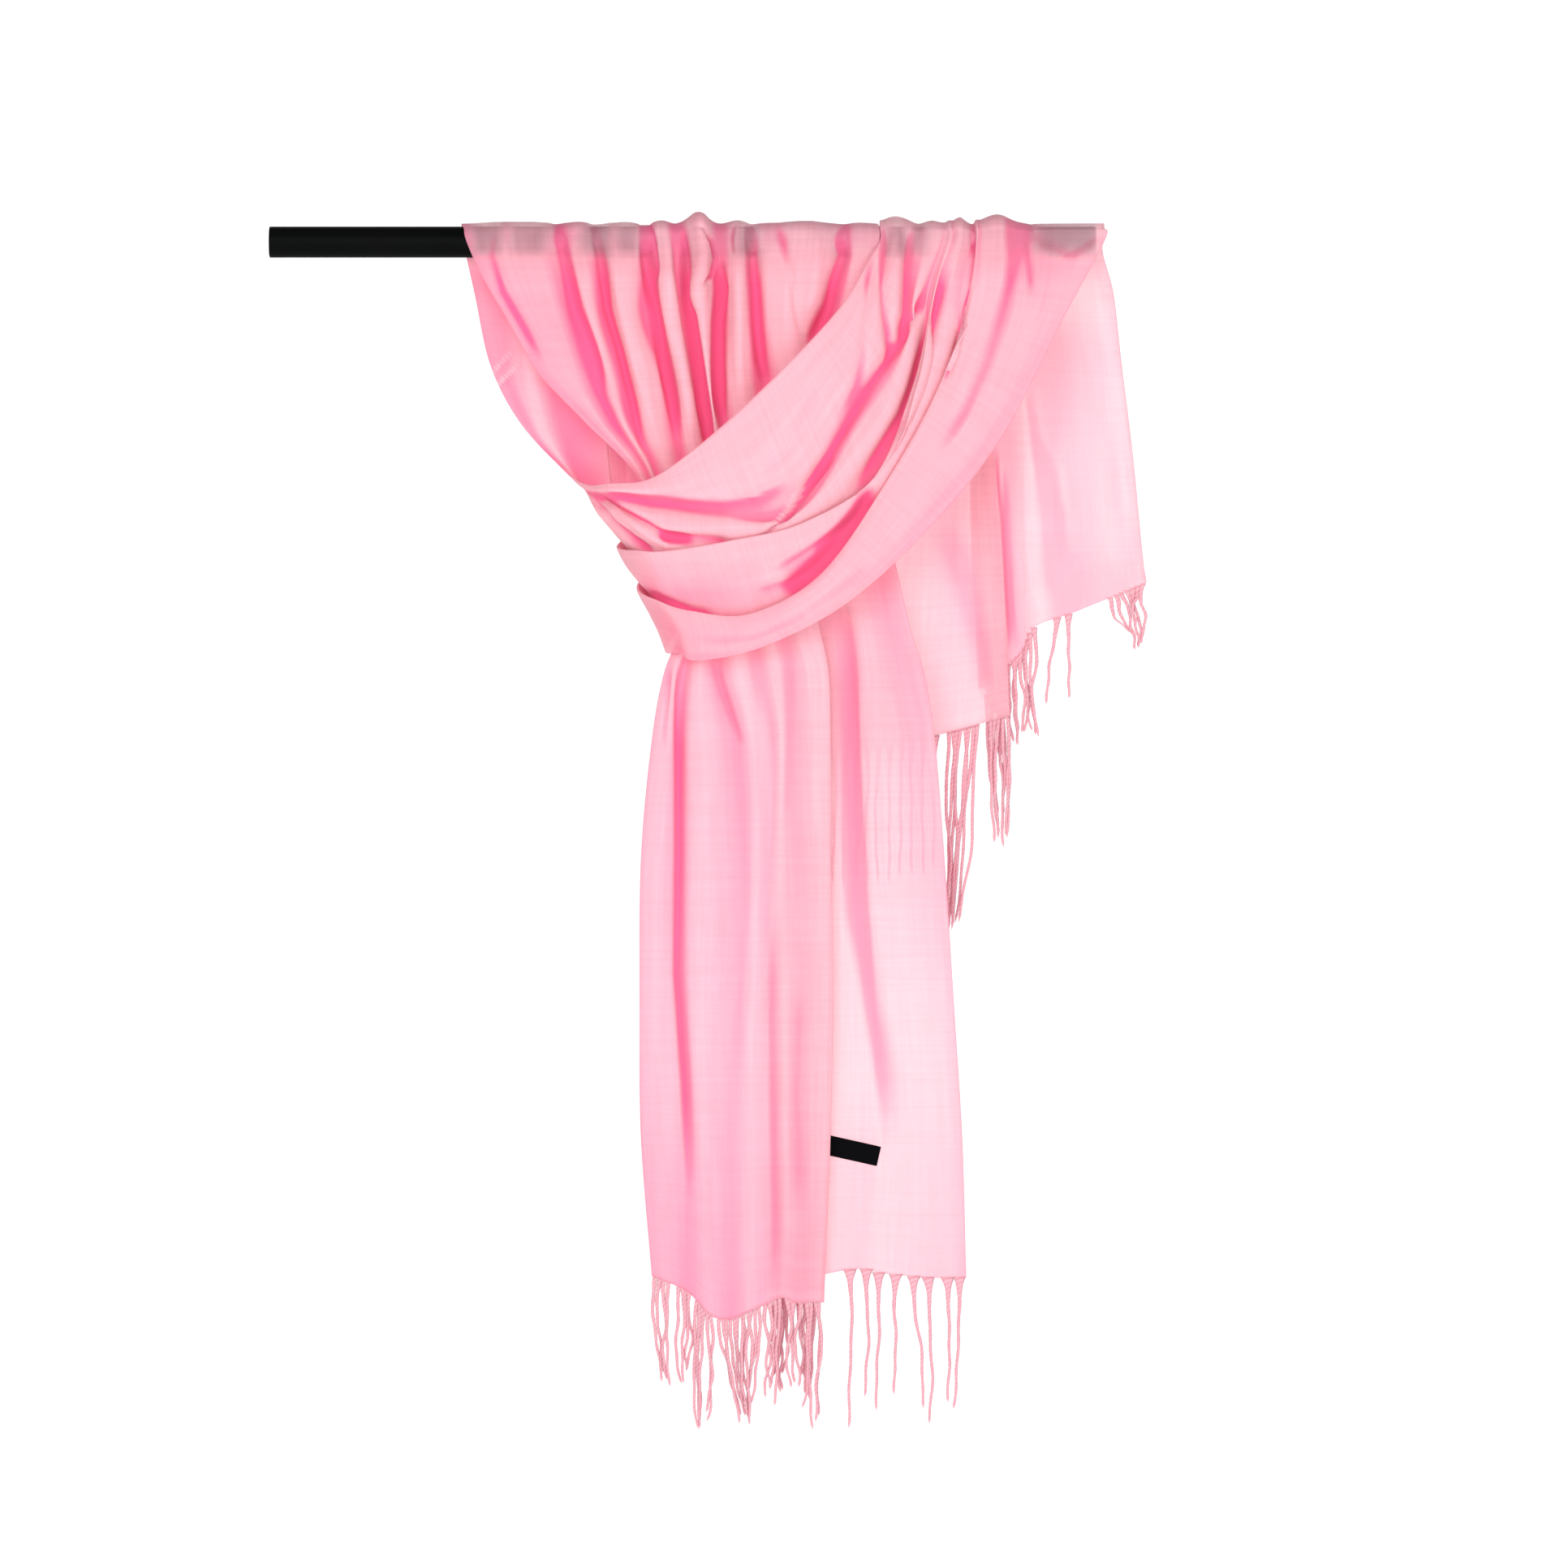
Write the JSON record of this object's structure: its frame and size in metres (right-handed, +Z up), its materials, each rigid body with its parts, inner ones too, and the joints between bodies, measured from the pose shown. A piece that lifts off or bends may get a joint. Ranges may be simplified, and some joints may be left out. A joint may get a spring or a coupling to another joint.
{
  "type": "fringed woven shawl on a rod",
  "caption": "A thin woven shawl with twisted fringe at both ends, looped over a horizontal rod and drawn up into a soft sling, with a long tail in front and a short flap behind.",
  "frame": {"origin": "Centre of the flat left end of the rod, where the rod is held.", "axes": "+X runs along the rod to its right end, +Z is up, and the front of the shawl faces -Y."},
  "size_m": [0.6501, 0.1025, 0.899],
  "materials": {
    "pink_cloth": "thin, softly sheened weave, slightly see-through",
    "black_rod": "satin black paint",
    "label_black": "bare black woven tape"
  },
  "bodies": {
    "root": {"rod": "black_rod", "fan": "pink_cloth", "back_stretch": "pink_cloth", "sling": "pink_cloth", "tail": "pink_cloth", "flap": "pink_cloth", "fringe_tail": "pink_cloth", "fringe_flap": "pink_cloth", "label": "label_black"}
  },
  "joints": []
}
